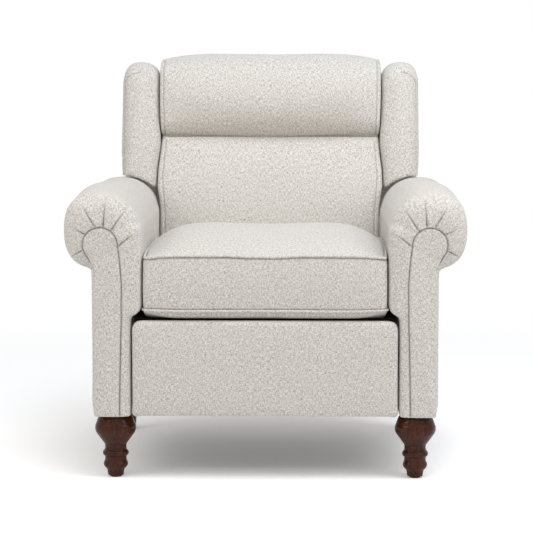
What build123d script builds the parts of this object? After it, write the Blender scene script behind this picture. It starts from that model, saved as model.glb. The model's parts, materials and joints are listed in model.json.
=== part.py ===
# Rolled-arm push-back recliner on turned legs: padded arms, a hinged winged back, a swinging seat
# and a footrest that folds out on a pair of steel linkages. Millimetres, +Z up, front towards -Y.
import os
from math import cos, radians, sin, sqrt

from build123d import *

os.makedirs("parts", exist_ok=True)

# Main places: the chair's front, the length of its arms and the height of its legs
FRONT_Y = -431.0
ARM_LENGTH = 660.0
ARM_BOTTOM = 148.0
ARM_REAR = FRONT_Y + ARM_LENGTH

# Seat frame, and the layers of steel beside it on the way out to the arm
SEAT_RAIL_OUT = 266.0
PLATE_T = 4.0
PLATE_GAP = 1.5
LINK_T = 4.0
LINK_W = 18.0
LINK_GAP = 2.0
SWING_GAP = 6.5
BASE_GAP = 3.0
TILT_LAYER = SEAT_RAIL_OUT + PLATE_T + PLATE_GAP
DRIVE_LAYER = TILT_LAYER + LINK_T + LINK_GAP
EXTENSION_LAYER = DRIVE_LAYER + LINK_T + LINK_GAP
CONTROL_LAYER = EXTENSION_LAYER + LINK_T + LINK_GAP
SWING_X = CONTROL_LAYER + LINK_T + SWING_GAP
BASE_PLATE_X = SWING_X + LINK_T + BASE_GAP

# Arms: a stump with a padded inside and a roll on top
ARM_INNER_LOW = BASE_PLATE_X + PLATE_T
STUMP_W = 87.0
ARM_OUTER = ARM_INNER_LOW + STUMP_W
ARM_PAD_T = 26.0
ARM_INNER_PAD = ARM_INNER_LOW - ARM_PAD_T
PAD_RISE = 236.0
PAD_START_Z = ARM_BOTTOM + PAD_RISE
PAD_CURVE_H = 47.0
ROLL_R = 89.0
ROLL_REACH = 66.0
ROLL_X = ARM_INNER_LOW + ROLL_REACH
ROLL_RISE = 432.0
ROLL_Z = ARM_BOTTOM + ROLL_RISE
ROLL_EDGE_R = 13.0
PAD_EDGE_R = 8.0
SOFT_GAP = 0.4

# Facing on the front of each arm
FACING_T = 7.0
FACING_SCROLL_X = ROLL_X + 3.0
FACING_SCROLL_Z = ROLL_Z - 32.0
FACING_SCROLL_R = 41.0
FACING_INSET = 3.0

# Wood frame inside each arm
FRAME_T = 24.0
FRAME_GAP = 12.0
FRAME_TOP = ROLL_Z - 34.0
FRAME_RAIL = 60.0
BLOCK_X = ARM_INNER_LOW + STUMP_W / 2
BLOCK_W = 74.0
BLOCK_H = 44.0

# Legs, bolts and glides
GLIDE_T = 4.0
GLIDE_R = 13.0
FRONT_LEG_X = ARM_INNER_LOW + 40.0
REAR_LEG_X = ARM_INNER_LOW + 60.0
FRONT_LEG_Y = FRONT_Y + 52.0
FOOT_R = 18.5
RING_R = 28.5
GROOVE_R = 25.0
COLLAR_R = 30.5
NECK_R = 25.0
BULB_R = 48.0
LEG_TOP_R = 36.0
REAR_LEG_Y = ARM_REAR - 46.0
REAR_LEG_RAKE = 44.0
REAR_LEG_TOP = 50.0
REAR_LEG_FOOT = 30.0
BOLT_R = 4.0
BOLT_LENGTH = 60.0
BOLT_FIT = 0.1

# Back hinge
HINGE_Y = ARM_REAR - 76.0
HINGE_Z = ARM_BOTTOM + 183.0

# Base rails and steel base plates
RAIL_T = 22.0
RAIL_H = 44.0
FRONT_RAIL_Y = FRONT_Y + 101.0
REAR_RAIL_Y = HINGE_Y - 117.0
BASE_PLATE_Z0 = ARM_BOTTOM + 48.0
BASE_PLATE_H = 46.0

# Swing links that carry the seat
SWING_LENGTH = 105.0
SWING_LEAN = 16.0
SWING_Z = ARM_BOTTOM + 70.0
SWING_SETBACK = 231.0
SWING_FRONT_Y = FRONT_Y + SWING_SETBACK
SWING_REAR_Y = HINGE_Y - 95.0
SWING_BACK = SWING_LENGTH * sin(radians(SWING_LEAN))
SWING_TOP_Z = SWING_Z + SWING_LENGTH * cos(radians(SWING_LEAN))

# Seat frame rails, springs and deck
SEAT_RAIL_T = 30.0
SEAT_RAIL_H = 57.0
SEAT_RAIL_IN = SEAT_RAIL_OUT - SEAT_RAIL_T
SEAT_RAIL_Z0 = ARM_BOTTOM + 163.0
SEAT_RAIL_Z1 = SEAT_RAIL_Z0 + SEAT_RAIL_H
SEAT_FRONT_Y = FRONT_Y + 59.0
SEAT_REAR_Y = HINGE_Y - 43.0
DECK_T = 6.0
SEAT_TOP = SEAT_RAIL_Z1 + DECK_T
SPRING_WIRE = 4.0
SPRING_BEND_R = 20.0
SPRING_COUNT = 4
SPRING_PITCH = 104.0
SPRING_DROP = 6.0

# Seat cushion
CUSHION_SIDE_GAP = 5.0
CUSHION_HALF = ARM_INNER_PAD - CUSHION_SIDE_GAP
CUSHION_FRONT = FRONT_Y + 9.0
CUSHION_REAR = HINGE_Y - 38.0
CUSHION_Z0 = SEAT_TOP + SOFT_GAP
CUSHION_BOX_H = 147.0
CUSHION_EDGE_Z = CUSHION_Z0 + CUSHION_BOX_H
CUSHION_CROWN = 44.0
CUSHION_BOW = 5.0

# Back, set out from its hinge: u runs up the back, w runs to the rear
BACK_TILT = 17.0
POST_W0 = 35.0
POST_D = 40.0
POST_W1 = POST_W0 + POST_D
POST_T = 30.0
POST_GAP = 6.0
POST_OUT = SEAT_RAIL_OUT + PLATE_T + POST_GAP
POST_U0 = -20.0
TOP_RAIL_U = 580.0
BACK_RAIL_H = 44.0
LOW_RAIL_U = 96.0
BACK_LOW_HALF = CUSHION_HALF
BACK_HIGH_HALF = BACK_LOW_HALF + 10.0
LUMBAR_U0 = 74.0
SPLIT_U = 450.0
SPLIT_GAP = 0.6
BACK_PAD_W = 30.0
LUMBAR_FRONT = -70.0
LUMBAR_BULGE = 20.0
HEAD_FRONT = -74.0
HEAD_BULGE = 24.0
HEAD_RISE = 44.0
HEAD_TOP_U = TOP_RAIL_U + BACK_RAIL_H + HEAD_RISE
HEAD_CROWN = 22.0
OUTBACK_T = 16.0
OUTBACK_U0 = -100.0
OUTBACK_RISE = 32.0
OUTBACK_TOP_U = TOP_RAIL_U + BACK_RAIL_H + OUTBACK_RISE
RETURN_T = 3.0
WEB_COUNT = 4
WEB_T = 2.0
WEB_H = 50.0
WEB_PITCH = 100.0

# Wings
WING_SIDE_GAP = 7.0
WING_IN = BACK_HIGH_HALF + WING_SIDE_GAP
WING_T = 91.0
WING_OUT = WING_IN + WING_T
WING_FRONT_W = -82.0
WING_RISE = 34.0
WING_TOP_U = TOP_RAIL_U + BACK_RAIL_H + WING_RISE
WING_TOP_R = 70.0
WING_EDGE_R = 30.0
WING_GAP = 16.0

# Footrest panel
FOOT_SIDE_GAP = 5.0
FOOT_HALF = ARM_INNER_LOW - FOOT_SIDE_GAP
FOOT_Z0 = ARM_BOTTOM + 7.0
FOOT_Z1 = SEAT_TOP - 1.0
FOOT_FRONT = FRONT_Y + 2.0
FOOT_PAD_T = 30.0
FOOT_BOARD_T = 12.0
FOOT_BOARD_INSET = 8.0
FOOT_CORNER_R = 20.0
FOOT_EDGE_R = 11.0
FOOT_BOARD_Y = FOOT_FRONT + FOOT_PAD_T
FOOT_BACK_Y = FOOT_BOARD_Y + FOOT_BOARD_T

# Footrest linkage: pivots in the side view as (y, z), angles up from the rearward direction
PIN_R = 4.0
PIN_FIT = 0.05
DRIVE_PIVOT = (FRONT_Y + 79.0, SEAT_RAIL_Z0 + 40.0)
DRIVE_LENGTH = 140.0
DRIVE_TAIL = 45.0
EXTENSION_LENGTH = 140.0
EXTENSION_ANGLE = 99.0
EXTENSION_TAIL = 22.0
CONTROL_PIVOT = (DRIVE_PIVOT[0] + 25.5, DRIVE_PIVOT[1] - 45.0)
CONTROL_ANGLE = -100.94
CONTROL_W = 24.0
SLOT_START = 119.3
SLOT_END = 155.7
SLOT_FIT = 2.4
TUBE_R = 8.0
TUBE_WALL = 2.0
TUBE_AT = 60.0
FLANGE_T = 3.0
FLANGE_W = 15.0


def along(start, angle, length):
    """The point a given length from start, at an angle up from the rearward direction."""
    return (
        start[0] + length * cos(radians(angle)),
        start[1] + length * sin(radians(angle)),
    )


KNEE = along(DRIVE_PIVOT, -90, DRIVE_LENGTH)
TAIL = along(KNEE, -90, DRIVE_TAIL)
FOOT_PIVOT = along(KNEE, EXTENSION_ANGLE, EXTENSION_LENGTH)
TILT_PIVOT = along(FOOT_PIVOT, -90, DRIVE_TAIL)
CONTROL_PIN = along(KNEE, EXTENSION_ANGLE, -EXTENSION_TAIL)


def side_plane(x):
    """Side view at a distance x from the middle: local axes are Y and Z."""
    return Plane.YZ.offset(x)


def back_point(w, u):
    """Side-view place of a point given behind (w) and up (u) from the back's hinge."""
    t = radians(BACK_TILT)
    return (HINGE_Y + u * sin(t) + w * cos(t), HINGE_Z + u * cos(t) - w * sin(t))


def back_side(x):
    """Side view of the back at x: local axes are w, to the rear, and u, up the back."""
    t = radians(BACK_TILT)
    return Plane((x, HINGE_Y, HINGE_Z), x_dir=(0, cos(t), -sin(t)), z_dir=(1, 0, 0))


def back_face(w):
    """Plane across the back at depth w: local axes are X and u, and it faces the front."""
    t = radians(BACK_TILT)
    y, z = back_point(w, 0)
    return Plane((0, y, z), x_dir=(1, 0, 0), z_dir=(0, -cos(t), sin(t)))


def keep(builder, name):
    """Labels a finished piece and writes it."""
    builder.part.label = name
    export_step(builder.part, f"parts/{name}.step")


def keep_pair(builder, name):
    """Writes a right-hand piece and its mirror image on the left."""
    keep(builder, f"right_{name}")
    with BuildPart() as mirrored:
        mirror(builder.part, about=Plane.YZ)
    keep(mirrored, f"left_{name}")


def keep_group(builder, name):
    """Writes right-hand pieces and their mirror images together under one name."""
    with BuildPart() as group:
        add(builder.part)
        mirror(builder.part, about=Plane.YZ)
    keep(group, name)


def link(layer, start, end, holes, hole_r=PIN_R + PIN_FIT):
    """A flat steel link with round ends and a hole at each point of holes."""
    middle = ((start[0] + end[0]) / 2, (start[1] + end[1]) / 2)
    with BuildPart() as made:
        with BuildSketch(side_plane(layer)):
            SlotCenterPoint(middle, end, LINK_W)
            with Locations(*holes):
                Circle(hole_r, mode=Mode.SUBTRACT)
        extrude(amount=LINK_T)
    return made


def pins(spans):
    """Round pivot pins along X, each given as its point, its inner end and its outer end."""
    with BuildPart() as made:
        for point, inner, outer in spans:
            with BuildSketch(side_plane(inner)):
                with Locations(point):
                    Circle(PIN_R)
            extrude(amount=outer - inner)
    return made


# Bores for the bolts that hold the right-hand legs
with BuildPart() as bolt_bores:
    with BuildSketch(Plane.XY.offset(ARM_BOTTOM - BOLT_LENGTH / 2)):
        with Locations((FRONT_LEG_X, FRONT_LEG_Y), (REAR_LEG_X, REAR_LEG_Y)):
            Circle(BOLT_R + BOLT_FIT)
    extrude(amount=BOLT_LENGTH)

# Wood frame inside the right arm: a windowed side board with a block over each leg
FRAME_X = ARM_INNER_LOW + FRAME_GAP
FRAME_FRONT = FRONT_Y + FACING_T + FRAME_GAP
FRAME_REAR = ARM_REAR - FRAME_GAP
with BuildPart() as arm_frame:
    with BuildSketch(side_plane(FRAME_X)):
        with Locations(((FRAME_FRONT + FRAME_REAR) / 2, (ARM_BOTTOM + FRAME_TOP) / 2)):
            Rectangle(FRAME_REAR - FRAME_FRONT, FRAME_TOP - ARM_BOTTOM)
            with GridLocations((FRAME_REAR - FRAME_FRONT - FRAME_RAIL) / 2, 0, 2, 1):
                Rectangle(
                    (FRAME_REAR - FRAME_FRONT - 3 * FRAME_RAIL) / 2,
                    FRAME_TOP - ARM_BOTTOM - 2 * FRAME_RAIL,
                    mode=Mode.SUBTRACT,
                )
    extrude(amount=FRAME_T)
    with BuildSketch(Plane.XY.offset(ARM_BOTTOM)):
        with Locations((BLOCK_X, FRONT_LEG_Y), (BLOCK_X, REAR_LEG_Y)):
            Rectangle(BLOCK_W, BLOCK_W)
    extrude(amount=BLOCK_H)
    add(bolt_bores.part, mode=Mode.SUBTRACT)
keep_pair(arm_frame, "arm_frame")

# Padded right arm in three pieces: the roll along the top, the stump under it and the inside pad
ARM_FRONT = FRONT_Y + FACING_T
ARM_DEPTH = ARM_REAR - ARM_FRONT
with BuildPart() as arm_roll:
    with BuildSketch(Plane.XZ.offset(-ARM_FRONT)):
        with Locations((ROLL_X, ROLL_Z)):
            Circle(ROLL_R)
    extrude(amount=-ARM_DEPTH)
    fillet(arm_roll.faces().sort_by(Axis.Y)[0].edges(), ROLL_EDGE_R)
    fillet(arm_roll.faces().sort_by(Axis.Y)[-1].edges(), PAD_EDGE_R)
    add(arm_frame.part, mode=Mode.SUBTRACT)
keep_pair(arm_roll, "arm_roll")
with BuildPart() as roll_seat:
    with BuildSketch(Plane.XZ.offset(-ARM_FRONT)):
        with Locations((ROLL_X, ROLL_Z)):
            Circle(ROLL_R + SOFT_GAP)
    extrude(amount=-ARM_DEPTH)
with BuildPart() as arm_stump:
    with BuildSketch(Plane.XZ.offset(-ARM_FRONT)):
        with Locations((ARM_INNER_LOW + STUMP_W / 2, (ARM_BOTTOM + ROLL_Z) / 2)):
            Rectangle(STUMP_W, ROLL_Z - ARM_BOTTOM)
    extrude(amount=-ARM_DEPTH)
    add(roll_seat.part, mode=Mode.SUBTRACT)
    add(arm_frame.part, mode=Mode.SUBTRACT)
    add(bolt_bores.part, mode=Mode.SUBTRACT)
keep_pair(arm_stump, "arm_stump")
with BuildPart() as arm_pad:
    with BuildSketch(Plane.XZ.offset(-ARM_FRONT)):
        with BuildLine():
            pad_full_z = PAD_START_Z + PAD_CURVE_H
            pad_curve = ARM_PAD_T * (1 - sqrt(0.5))
            Polyline(
                (ARM_INNER_LOW, PAD_START_Z),
                (ARM_INNER_LOW, ROLL_Z),
                (ROLL_X - ROLL_R, ROLL_Z),
                (ARM_INNER_PAD, pad_full_z),
            )
            ThreePointArc(
                (ARM_INNER_PAD, pad_full_z),
                (ARM_INNER_PAD + pad_curve, PAD_START_Z + PAD_CURVE_H * 0.3),
                (ARM_INNER_LOW, PAD_START_Z),
            )
        make_face()
    extrude(amount=-ARM_DEPTH)
    front_edges = arm_pad.faces().sort_by(Axis.Y)[0].edges()
    fillet([edge for edge in front_edges if edge.center().X < ARM_INNER_LOW - PAD_EDGE_R], PAD_EDGE_R)
    add(roll_seat.part, mode=Mode.SUBTRACT)
keep_pair(arm_pad, "arm_inside_pad")

# Facing: the flat upholstered panel on the front of the right arm, with its scroll top
with BuildPart() as facing:
    with BuildSketch(Plane.XZ.offset(-FRONT_Y)):
        stile_in = FACING_SCROLL_X - FACING_SCROLL_R
        stile_out = ARM_OUTER - FACING_INSET
        stile_z0 = ARM_BOTTOM + FACING_INSET
        with Locations(((stile_in + stile_out) / 2, (stile_z0 + FACING_SCROLL_Z) / 2)):
            Rectangle(stile_out - stile_in, FACING_SCROLL_Z - stile_z0)
        with Locations((FACING_SCROLL_X, FACING_SCROLL_Z)):
            Circle(FACING_SCROLL_R)
    extrude(amount=-FACING_T)
    fillet(facing.faces().sort_by(Axis.Y)[0].edges(), FACING_INSET)
keep_pair(facing, "arm_facing")

# Front leg: a turned bun with a collar and a ring above a tapered foot
def leg_z(share):
    """Height of a point on the turned leg, as a share of the leg above its glide."""
    return GLIDE_T + share * (ARM_BOTTOM - GLIDE_T)


with BuildPart() as front_leg:
    with BuildSketch(Plane((FRONT_LEG_X, FRONT_LEG_Y, 0), x_dir=(1, 0, 0), z_dir=(0, -1, 0))):
        with BuildLine():
            ring_low, ring_high = leg_z(0.14), leg_z(0.225)
            collar_low, collar_high = leg_z(0.315), leg_z(0.41)
            neck_high, bulb_low, bulb_high = leg_z(0.52), leg_z(0.7), leg_z(0.86)
            ankle = (FOOT_R * 1.08, leg_z(0.08))
            Polyline((0, ARM_BOTTOM), (0, GLIDE_T), (FOOT_R, GLIDE_T), ankle)
            ThreePointArc(ankle, (FOOT_R * 1.24, leg_z(0.11)), (RING_R * 0.94, ring_low))
            ThreePointArc((RING_R * 0.94, ring_low), (RING_R, leg_z(0.18)), (RING_R * 0.94, ring_high))
            Line((RING_R * 0.94, ring_high), (GROOVE_R, leg_z(0.26)))
            ThreePointArc((GROOVE_R, leg_z(0.26)), (GROOVE_R * 1.01, leg_z(0.285)), (COLLAR_R * 0.84, collar_low))
            ThreePointArc((COLLAR_R * 0.84, collar_low), (COLLAR_R, leg_z(0.36)), (COLLAR_R * 0.88, collar_high))
            ThreePointArc((COLLAR_R * 0.88, collar_high), (NECK_R, leg_z(0.455)), (NECK_R * 1.06, neck_high))
            ThreePointArc((NECK_R * 1.06, neck_high), (BULB_R * 0.76, leg_z(0.615)), (BULB_R * 0.94, bulb_low))
            ThreePointArc((BULB_R * 0.94, bulb_low), (BULB_R, leg_z(0.78)), (BULB_R * 0.94, bulb_high))
            ThreePointArc((BULB_R * 0.94, bulb_high), (BULB_R * 0.88, leg_z(0.92)), (LEG_TOP_R, ARM_BOTTOM))
            Line((LEG_TOP_R, ARM_BOTTOM), (0, ARM_BOTTOM))
        make_face()
    revolve(axis=Axis((FRONT_LEG_X, FRONT_LEG_Y, 0), (0, 0, 1)))
    add(bolt_bores.part, mode=Mode.SUBTRACT)
keep_pair(front_leg, "front_leg")

# Rear leg: square, tapered and raked to the rear
with BuildPart() as rear_leg:
    with BuildSketch(Plane.XY.offset(ARM_BOTTOM)):
        with Locations((REAR_LEG_X, REAR_LEG_Y)):
            RectangleRounded(REAR_LEG_TOP, REAR_LEG_TOP, FACING_INSET)
    with BuildSketch(Plane.XY.offset(GLIDE_T)):
        with Locations((REAR_LEG_X, REAR_LEG_Y + REAR_LEG_RAKE)):
            RectangleRounded(REAR_LEG_FOOT, REAR_LEG_FOOT, FACING_INSET)
    loft(ruled=True)
    add(bolt_bores.part, mode=Mode.SUBTRACT)
keep_pair(rear_leg, "rear_leg")

# Hanger bolts that hold the legs, and the nylon glides under them
with BuildPart() as bolt:
    with BuildSketch(Plane.XY.offset(ARM_BOTTOM - BOLT_LENGTH / 2)):
        with Locations((FRONT_LEG_X, FRONT_LEG_Y), (REAR_LEG_X, REAR_LEG_Y)):
            Circle(BOLT_R)
    extrude(amount=BOLT_LENGTH)
keep_group(bolt, "leg_bolts")
with BuildPart() as glide:
    with BuildSketch():
        with Locations((FRONT_LEG_X, FRONT_LEG_Y), (REAR_LEG_X, REAR_LEG_Y + REAR_LEG_RAKE)):
            Circle(GLIDE_R)
    extrude(amount=GLIDE_T)
keep_group(glide, "leg_glides")

# Cross rails that tie the two arms together
for rail_name, rail_y in (("front_base_rail", FRONT_RAIL_Y), ("rear_base_rail", REAR_RAIL_Y)):
    with BuildPart() as base_rail:
        with BuildSketch(Plane.XY.offset(ARM_BOTTOM)):
            with Locations((0, rail_y + RAIL_T / 2)):
                Rectangle(2 * ARM_INNER_LOW, RAIL_T)
        extrude(amount=RAIL_H)
        chamfer(base_rail.edges().filter_by(Axis.X), RAIL_T / 10)
    keep(base_rail, rail_name)

# Steel base plate on the inside of the right arm, with the lower pivots of the swing links
SWING_LOW = ((SWING_FRONT_Y, SWING_Z), (SWING_REAR_Y, SWING_Z))
SWING_HIGH = tuple((y + SWING_BACK, SWING_TOP_Z) for y, z in SWING_LOW)
SWING_SPREAD = SWING_REAR_Y - SWING_FRONT_Y
SWING_MIDDLE = (SWING_FRONT_Y + SWING_REAR_Y) / 2
with BuildPart() as base_plate:
    with BuildSketch(side_plane(BASE_PLATE_X)) as plate_outline:
        with Locations((SWING_MIDDLE, BASE_PLATE_Z0 + BASE_PLATE_H / 2)):
            Rectangle(SWING_SPREAD + 2 * LINK_W, BASE_PLATE_H)
        fillet(plate_outline.vertices(), LINK_W / 2)
    extrude(amount=PLATE_T)
    with BuildSketch(side_plane(BASE_PLATE_X)):
        with Locations(*SWING_LOW):
            Circle(PIN_R + PIN_FIT)
    extrude(amount=PLATE_T, mode=Mode.SUBTRACT)
keep_pair(base_plate, "base_plate")
keep_group(pins([(p, SWING_X, BASE_PLATE_X + PLATE_T) for p in SWING_LOW]), "base_pivot_pins")

# Swing links: they lean back at rest and swing the seat forward
for swing_name, low, high in zip(("front", "rear"), SWING_LOW, SWING_HIGH):
    keep_group(link(SWING_X, low, high, (low, high)), f"{swing_name}_swing_links")

# Seat frame rails
with BuildPart() as side_rail:
    with BuildSketch(Plane.XY.offset(SEAT_RAIL_Z0)):
        with Locations(((SEAT_RAIL_IN + SEAT_RAIL_OUT) / 2, (SEAT_FRONT_Y + SEAT_REAR_Y) / 2)):
            Rectangle(SEAT_RAIL_T, SEAT_REAR_Y - SEAT_FRONT_Y)
    extrude(amount=SEAT_RAIL_H)
keep_pair(side_rail, "seat_rail")
END_RAILS = (("seat_front_rail", SEAT_FRONT_Y), ("seat_rear_rail", SEAT_REAR_Y - SEAT_RAIL_T))
for rail_name, rail_y in END_RAILS:
    with BuildPart() as end_rail:
        with BuildSketch(Plane.XY.offset(SEAT_RAIL_Z0)):
            with Locations((0, rail_y + SEAT_RAIL_T / 2)):
                Rectangle(2 * SEAT_RAIL_IN, SEAT_RAIL_T)
        extrude(amount=SEAT_RAIL_H)
    keep(end_rail, rail_name)

# Sinuous seat springs: flat-lying wire bends, clipped between the front and rear rails
SPRING_Y0 = SEAT_FRONT_Y + SEAT_RAIL_T
SPRING_Y1 = SEAT_REAR_Y - SEAT_RAIL_T
BEND_COUNT = int((SPRING_Y1 - SPRING_Y0) / (2 * SPRING_BEND_R)) - 1
LEAD = (SPRING_Y1 - SPRING_Y0 - BEND_COUNT * 2 * SPRING_BEND_R) / 2
with BuildPart() as springs:
    for n in range(SPRING_COUNT):
        spring_x = (n - (SPRING_COUNT - 1) / 2) * SPRING_PITCH
        with BuildSketch(Plane.XY.offset(SEAT_RAIL_Z1 - SPRING_DROP - SPRING_WIRE)):
            with BuildLine() as wave:
                y = SPRING_Y0 + LEAD
                Line((spring_x, SPRING_Y0), (spring_x, y))
                for bend in range(BEND_COUNT):
                    side = SPRING_BEND_R if bend % 2 else -SPRING_BEND_R
                    y_end = y + 2 * SPRING_BEND_R
                    ThreePointArc((spring_x, y), (spring_x + side, y + SPRING_BEND_R), (spring_x, y_end))
                    y = y_end
                Line((spring_x, y), (spring_x, SPRING_Y1))
            trace(wave.line, SPRING_WIRE)
        extrude(amount=SPRING_WIRE)
keep(springs, "seat_springs")

# Deck over the springs
with BuildPart() as deck:
    with BuildSketch(Plane.XY.offset(SEAT_RAIL_Z1)):
        with Locations((0, (SEAT_FRONT_Y + SEAT_REAR_Y) / 2)):
            Rectangle(2 * SEAT_RAIL_OUT, SEAT_REAR_Y - SEAT_FRONT_Y)
    extrude(amount=DECK_T)
keep(deck, "seat_deck")

# Steel seat plate on the outside of the right rail: it carries the swing, footrest and back pivots
HINGE = (HINGE_Y, HINGE_Z)
SEAT_PIVOTS = (DRIVE_PIVOT, CONTROL_PIVOT, *SWING_HIGH, HINGE)
PLATE_MID_Z = (SEAT_RAIL_Z0 + SEAT_RAIL_Z1) / 2
with BuildPart() as seat_plate:
    with BuildSketch(side_plane(SEAT_RAIL_OUT)):
        plate_y0 = CONTROL_PIVOT[0]
        with Locations(((plate_y0 + SEAT_REAR_Y) / 2, PLATE_MID_Z)):
            Rectangle(SEAT_REAR_Y - plate_y0, SEAT_RAIL_H - PLATE_T)
        with Locations(*SEAT_PIVOTS):
            Circle(LINK_W * 0.7)
        for near, far in ((DRIVE_PIVOT, CONTROL_PIVOT), (DRIVE_PIVOT, SWING_HIGH[0]), (HINGE, SWING_HIGH[1])):
            SlotCenterPoint(((near[0] + far[0]) / 2, (near[1] + far[1]) / 2), far, LINK_W * 1.4)
        with Locations(*SEAT_PIVOTS):
            Circle(PIN_R + PIN_FIT, mode=Mode.SUBTRACT)
    extrude(amount=PLATE_T)
keep_pair(seat_plate, "seat_plate")
SWING_OUT = SWING_X + LINK_T
BRACKET_X = POST_OUT
keep_group(
    pins(
        [(p, SEAT_RAIL_OUT, SWING_OUT) for p in SWING_HIGH]
        + [(DRIVE_PIVOT, SEAT_RAIL_OUT, DRIVE_LAYER + LINK_T)]
        + [(CONTROL_PIVOT, SEAT_RAIL_OUT, CONTROL_LAYER + LINK_T)]
        + [(HINGE, SEAT_RAIL_OUT, BRACKET_X + PLATE_T)]
    ),
    "seat_pivot_pins",
)

# Seat cushion: a boxed cushion with a crowned top, its sides drawn in between the corners
CUSHION_MID_Z = (CUSHION_Z0 + CUSHION_EDGE_Z) / 2


def cushion_section(x, crown, inset):
    """One upright slice of the seat cushion at x."""
    front = CUSHION_FRONT + inset
    rear = CUSHION_REAR - inset
    with BuildSketch(side_plane(x)) as slice_of:
        with BuildLine():
            Line((rear, CUSHION_EDGE_Z - inset), (rear, CUSHION_Z0))
            Line((rear, CUSHION_Z0), (front + CUSHION_BOW, CUSHION_Z0))
            ThreePointArc(
                (front + CUSHION_BOW, CUSHION_Z0),
                (front - CUSHION_BOW / 2, CUSHION_MID_Z),
                (front + CUSHION_BOW, CUSHION_EDGE_Z - inset),
            )
            ThreePointArc(
                (front + CUSHION_BOW, CUSHION_EDGE_Z - inset),
                ((front + rear) / 2, CUSHION_EDGE_Z + crown),
                (rear, CUSHION_EDGE_Z - inset),
            )
        make_face()
    return slice_of


CUSHION_SLICES = ((0, 1, 0), (0.9, 0.55, 0), (1, CUSHION_BOW / CUSHION_CROWN, CUSHION_BOW))
with BuildPart() as cushion:
    loft(
        [
            cushion_section(side * out * CUSHION_HALF, rise * CUSHION_CROWN, inset).sketch
            for side, slices in ((-1, CUSHION_SLICES[:0:-1]), (1, CUSHION_SLICES))
            for out, rise, inset in slices
        ]
    )
keep(cushion, "seat_cushion")

# Back frame: two posts, a top rail and a low rail
with BuildPart() as post:
    with BuildSketch(back_side(POST_OUT - POST_T)):
        with Locations(((POST_W0 + POST_W1) / 2, (POST_U0 + TOP_RAIL_U + BACK_RAIL_H) / 2)):
            Rectangle(POST_D, TOP_RAIL_U + BACK_RAIL_H - POST_U0)
    extrude(amount=POST_T)
keep_pair(post, "back_post")
for rail_name, rail_u in (("back_top_rail", TOP_RAIL_U), ("back_low_rail", LOW_RAIL_U)):
    with BuildPart() as back_rail:
        with BuildSketch(back_face(POST_W1)):
            with Locations((0, rail_u + BACK_RAIL_H / 2)):
                Rectangle(2 * (POST_OUT - POST_T), BACK_RAIL_H)
        extrude(amount=POST_D)
    keep(back_rail, rail_name)

# Steel bracket that hangs the right post on its hinge pin
with BuildPart() as back_bracket:
    with BuildSketch(back_side(BRACKET_X)):
        Circle(LINK_W * 0.8)
        with BuildLine():
            Polyline(
                (-LINK_W * 0.4, LINK_W * 0.6),
                (POST_W0, LINK_W * 4),
                (POST_W1, LINK_W * 4),
                (POST_W1, POST_U0 + LINK_W / 2),
                (0, -LINK_W * 0.7),
                close=True,
            )
        make_face()
        Circle(PIN_R + PIN_FIT, mode=Mode.SUBTRACT)
    extrude(amount=PLATE_T)
keep_group(back_bracket, "back_brackets")

# Elastic webbing across the front of the posts
with BuildPart() as webbing:
    with BuildSketch(back_face(POST_W0)):
        with Locations((0, (LOW_RAIL_U + TOP_RAIL_U) / 2)):
            with GridLocations(0, WEB_PITCH, 1, WEB_COUNT):
                Rectangle(2 * POST_OUT, WEB_H)
    extrude(amount=WEB_T)
keep(webbing, "back_webbing")


def lumbar_section(x, bulge):
    """One upright slice of the lower back cushion at x."""
    with BuildSketch(back_side(x)) as slice_of:
        with BuildLine():
            low = (LUMBAR_FRONT / 2, LUMBAR_U0)
            high = (LUMBAR_FRONT * 0.75, SPLIT_U - HEAD_BULGE)
            top = (0, SPLIT_U - SPLIT_GAP)
            middle_u = (LUMBAR_U0 + SPLIT_U) / 2
            ThreePointArc(low, (LUMBAR_FRONT - bulge, middle_u), high)
            ThreePointArc(high, (LUMBAR_FRONT * 0.5, SPLIT_U - HEAD_BULGE / 3), top)
            Polyline(top, (BACK_PAD_W, top[1]), (BACK_PAD_W, LUMBAR_U0), low)
        make_face()
    return slice_of


def headrest_section(x, bulge, crown):
    """One upright slice of the headrest roll at x: it turns over the top rail at the rear."""
    seat_u = TOP_RAIL_U + BACK_RAIL_H + SOFT_GAP
    top_u = HEAD_TOP_U + crown
    with BuildSketch(back_side(x)) as slice_of:
        with BuildLine():
            base = (BACK_PAD_W, SPLIT_U + SPLIT_GAP)
            low = (HEAD_FRONT * 0.4, SPLIT_U + SPLIT_GAP)
            cheek = (HEAD_FRONT - bulge * 0.4, SPLIT_U + HEAD_BULGE * 2)
            brow = (HEAD_FRONT - bulge * 0.3, (SPLIT_U + 3 * HEAD_TOP_U) / 4)
            crest = (BACK_PAD_W / 2, top_u)
            ThreePointArc(low, (HEAD_FRONT * 0.85, SPLIT_U + HEAD_BULGE * 0.6), cheek)
            ThreePointArc(cheek, (HEAD_FRONT - bulge, (SPLIT_U + HEAD_TOP_U) / 2), brow)
            ThreePointArc(brow, (HEAD_FRONT * 0.55, (brow[1] + 2 * top_u) / 3), crest)
            nape = (POST_W1, seat_u)
            ThreePointArc(crest, (POST_W1 * 0.8, (seat_u + 2 * top_u) / 3), nape)
            Polyline(nape, (BACK_PAD_W, seat_u), base, low)
        make_face()
    return slice_of


BACK_SLICES = ((-1, 0.15), (-0.85, 0.7), (0, 1), (0.85, 0.7), (1, 0.15))
with BuildPart() as lumbar:
    loft([lumbar_section(out * BACK_LOW_HALF, swell * LUMBAR_BULGE).sketch for out, swell in BACK_SLICES])
keep(lumbar, "lower_back_cushion")
with BuildPart() as headrest:
    loft(
        [
            headrest_section(out * BACK_HIGH_HALF, swell * HEAD_BULGE, swell * HEAD_CROWN).sketch
            for out, swell in BACK_SLICES
        ]
    )
keep(headrest, "headrest_cushion")

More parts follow.
